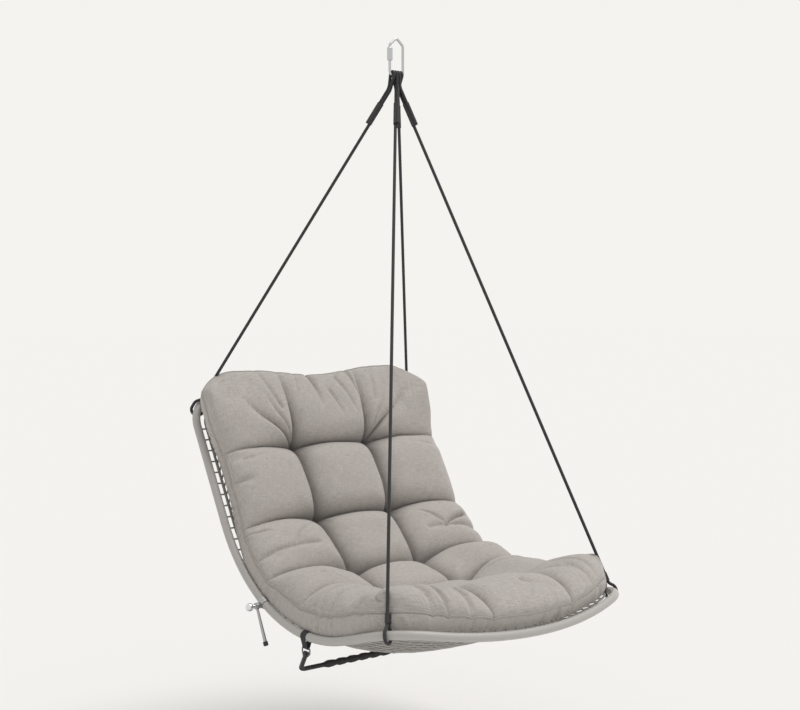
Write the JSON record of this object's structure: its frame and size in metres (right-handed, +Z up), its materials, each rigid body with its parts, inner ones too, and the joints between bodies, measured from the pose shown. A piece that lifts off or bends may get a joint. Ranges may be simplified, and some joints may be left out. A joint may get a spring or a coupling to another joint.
{
  "type": "hanging swing bed",
  "caption": "Deep hanging lounge swing: a bent tube ring with a laced net and a tufted cushion, held by ropes that meet in a quick link.",
  "frame": {"origin": "underside of the quick link's crown, where the hook that holds the swing bears", "axes": "+Z up, the seat faces -Y, +X across to the sitter's left as they face -Y"},
  "size_m": [1.2246, 1.3651, 2.2459],
  "materials": {
    "link_steel": "satin galvanised steel",
    "rope_black": "braided black rope",
    "sleeve_grey": "dark grey sewn sleeve",
    "taupe_paint": "light grey-taupe powder coat",
    "cord_grey": "dark grey woven cord",
    "linen": "warm light grey melange linen weave",
    "black_paint": "black powder coat",
    "grip_black": "matt black wrapped sleeve",
    "webbing_black": "black webbing",
    "buckle_grey": "grey coated wire",
    "bright_steel": "bright satin steel",
    "dark_steel": "blackened steel",
    "foot_rubber": "black rubber",
    "knob_chrome": "polished chrome"
  },
  "bodies": {
    "link": {"quick_link": "link_steel"},
    "nut": {"link_nut": "link_steel"},
    "swing": {"rope_back_left": "rope_black", "rope_back_right": "rope_black", "rope_front_left": "rope_black", "rope_front_right": "rope_black", "splice_back_left": "sleeve_grey", "splice_back_right": "sleeve_grey", "splice_front_left": "sleeve_grey", "splice_front_right": "sleeve_grey", "collar_back_left": "sleeve_grey", "collar_back_right": "sleeve_grey", "collar_front_left": "sleeve_grey", "collar_front_right": "sleeve_grey", "frame_tube": "taupe_paint", "net_edge_cord": "cord_grey", "net_lacing": "cord_grey", "net": "cord_grey", "cushion": "linen", "foot_bar": "black_paint", "bar_grip": "grip_black", "strap_left": "webbing_black", "buckle_left": "buckle_grey", "leg_clamp_left": "bright_steel", "clamp_screw_left": "dark_steel", "leg_spindle_left": "bright_steel", "strap_right": "webbing_black", "buckle_right": "buckle_grey", "leg_clamp_right": "bright_steel", "clamp_screw_right": "dark_steel", "leg_spindle_right": "bright_steel"},
    "leg_left": {"rest_leg_left": "bright_steel", "leg_foot_left": "foot_rubber"},
    "leg_right": {"rest_leg_right": "bright_steel", "leg_foot_right": "foot_rubber"},
    "knob_left": {"leg_knob_left": "knob_chrome"},
    "knob_right": {"leg_knob_right": "knob_chrome"}
  },
  "joints": [
    {"name": "nut_slide", "type": "slide", "parent": "link", "child": "nut", "axis": [0, 0, -1], "range_m": [0, 0.028]},
    {"name": "swing_hinge", "type": "hinge", "parent": "link", "child": "swing", "pos_m": [0, 0, -0.126], "axis": [1, 0, 0], "range_deg": [-30, 30]},
    {"name": "leg_hinge_left", "type": "hinge", "parent": "swing", "child": "leg_left", "pos_m": [-0.5683, 0.08322, -2.02043], "axis": [1, 0, 0], "range_deg": [-39, 141]},
    {"name": "knob_turn_left", "type": "hinge", "parent": "swing", "child": "knob_left", "pos_m": [-0.597, 0.08322, -2.02043], "axis": [1, 0, 0], "range_deg": [0, 360]},
    {"name": "leg_hinge_right", "type": "hinge", "parent": "swing", "child": "leg_right", "pos_m": [0.5683, 0.08322, -2.02043], "axis": [1, 0, 0], "range_deg": [-39, 141]},
    {"name": "knob_turn_right", "type": "hinge", "parent": "swing", "child": "knob_right", "pos_m": [0.597, 0.08322, -2.02043], "axis": [1, 0, 0], "range_deg": [0, 360]}
  ]
}
